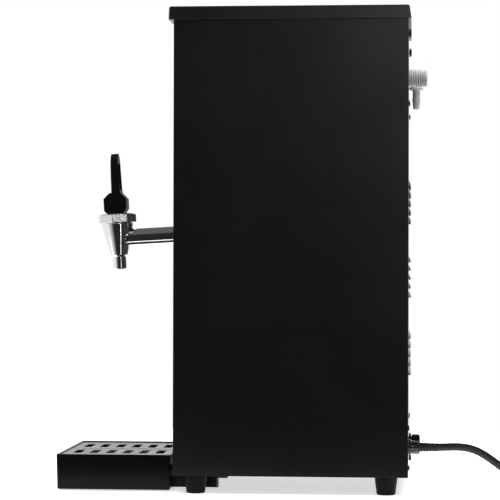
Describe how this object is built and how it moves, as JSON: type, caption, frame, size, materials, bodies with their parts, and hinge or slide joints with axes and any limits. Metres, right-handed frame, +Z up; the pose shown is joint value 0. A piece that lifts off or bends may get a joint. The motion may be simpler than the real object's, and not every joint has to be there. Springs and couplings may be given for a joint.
{
  "type": "countertop water dispenser",
  "caption": "Slim black plumbed-in countertop hot water dispenser with a chrome lever tap, a drip tray with a slotted grille, rear louvres, water and overflow fittings and a mains lead.",
  "frame": {"origin": "bottom centre of the machine's bounding box without its mains lead, on the floor", "axes": "+Z up; the tap and drip tray face -Y, the plumbing and mains lead leave at +Y; +X is the machine's left side as its user faces the tap"},
  "size_m": [0.212, 0.571, 0.4893],
  "materials": {
    "black_paint": "satin powder coat",
    "lid_black": "satin moulded",
    "zinc_black": "black zinc",
    "black_rubber": "matt",
    "black_plastic": "satin moulded",
    "chrome": "polished",
    "brass": "machined",
    "stainless": "brushed",
    "silicone": "translucent matt",
    "foam": "closed-cell foam",
    "grey_plastic": "translucent moulded",
    "white_plastic": "moulded",
    "copper": "lacquered winding",
    "circuit_board": "solder resist",
    "status_lens": "clear tinted"
  },
  "bodies": {
    "cabinet": {"side_panel_right": "black_paint", "side_panel_left": "black_paint", "front_panel": "black_paint", "rear_panel": "black_paint", "base_plate": "zinc_black", "lid": "lid_black", "foot_front_left": "black_rubber", "foot_screw_front_left": "zinc_black", "foot_front_right": "black_rubber", "foot_screw_front_right": "zinc_black", "foot_rear_left": "black_rubber", "foot_screw_rear_left": "zinc_black", "foot_rear_right": "black_rubber", "foot_screw_rear_right": "zinc_black", "lid_screw_1": "zinc_black", "lid_screw_2": "zinc_black", "rear_screw_1": "zinc_black", "rear_screw_2": "zinc_black", "rear_screw_3": "zinc_black", "rear_screw_4": "zinc_black", "control_panel": "black_plastic", "status_lens": "status_lens", "control_board": "circuit_board", "tap_body": "chrome", "tap_washer": "chrome", "tap_nut": "brass", "tap_collar": "chrome", "tap_bonnet": "black_plastic", "stem_spring": "stainless", "water_tank": "stainless", "tank_gasket": "silicone", "tank_cover": "stainless", "tank_insulation": "foam", "heating_element": "stainless", "level_probe": "stainless", "temperature_probe": "stainless", "thermal_cutout": "black_plastic", "inlet_spigot": "grey_plastic", "inlet_valve": "white_plastic", "valve_coil": "copper", "overflow_elbow": "grey_plastic", "overflow_hose": "silicone", "drain_fitting": "black_plastic", "drain_hose": "silicone", "fill_hose": "silicone", "cord_gland": "black_plastic", "cord_relief": "black_rubber", "power_cord": "black_rubber", "cord_coil": "black_rubber", "cord_tail": "black_rubber", "mains_plug": "black_plastic"},
    "stem": {"tap_stem": "stainless", "tap_seat": "silicone"},
    "lever": {"tap_lever": "black_plastic", "lever_pin": "stainless"},
    "button": {"power_button": "black_plastic"},
    "tray": {"drip_tray": "black_plastic"},
    "grille": {"drip_grille": "stainless"},
    "drain_cap": {"drain_cap": "black_plastic"}
  },
  "joints": [
    {"name": "stem_lift", "type": "slide", "parent": "cabinet", "child": "stem", "axis": [0, -0.0576, 0.9983], "range_m": [0, 0.0034], "deforming": ["stem_spring"]},
    {"name": "tap_lever_pull", "type": "hinge", "parent": "stem", "child": "lever", "pos_m": [0, -0.13856, 0.29425], "axis": [1, 0, 0], "range_deg": [0, 30], "stiffness_Nm_per_rad": 0.6, "springref_deg": -8.59},
    {"name": "power_button_press", "type": "slide", "parent": "cabinet", "child": "button", "axis": [0, 1, 0], "range_m": [0, 0.0015], "stiffness_N_per_m": 400, "springref_m": -0.001},
    {"name": "drip_tray_slide", "type": "slide", "parent": "cabinet", "child": "tray", "axis": [0, -1, 0], "range_m": [0, 0.12]},
    {"name": "grille_lift", "type": "slide", "parent": "tray", "child": "grille", "axis": [0, 0, 1], "range_m": [0, 0.03]},
    {"name": "drain_cap_turn", "type": "hinge", "parent": "cabinet", "child": "drain_cap", "pos_m": [-0.035, 0.17305, 0.0404], "axis": [0, 1, 0], "range_deg": [0, 720]}
  ],
  "couplings": [
    {"joint": "stem_lift", "follows": "tap_lever_pull", "m_per_rad": 0.0062}
  ]
}
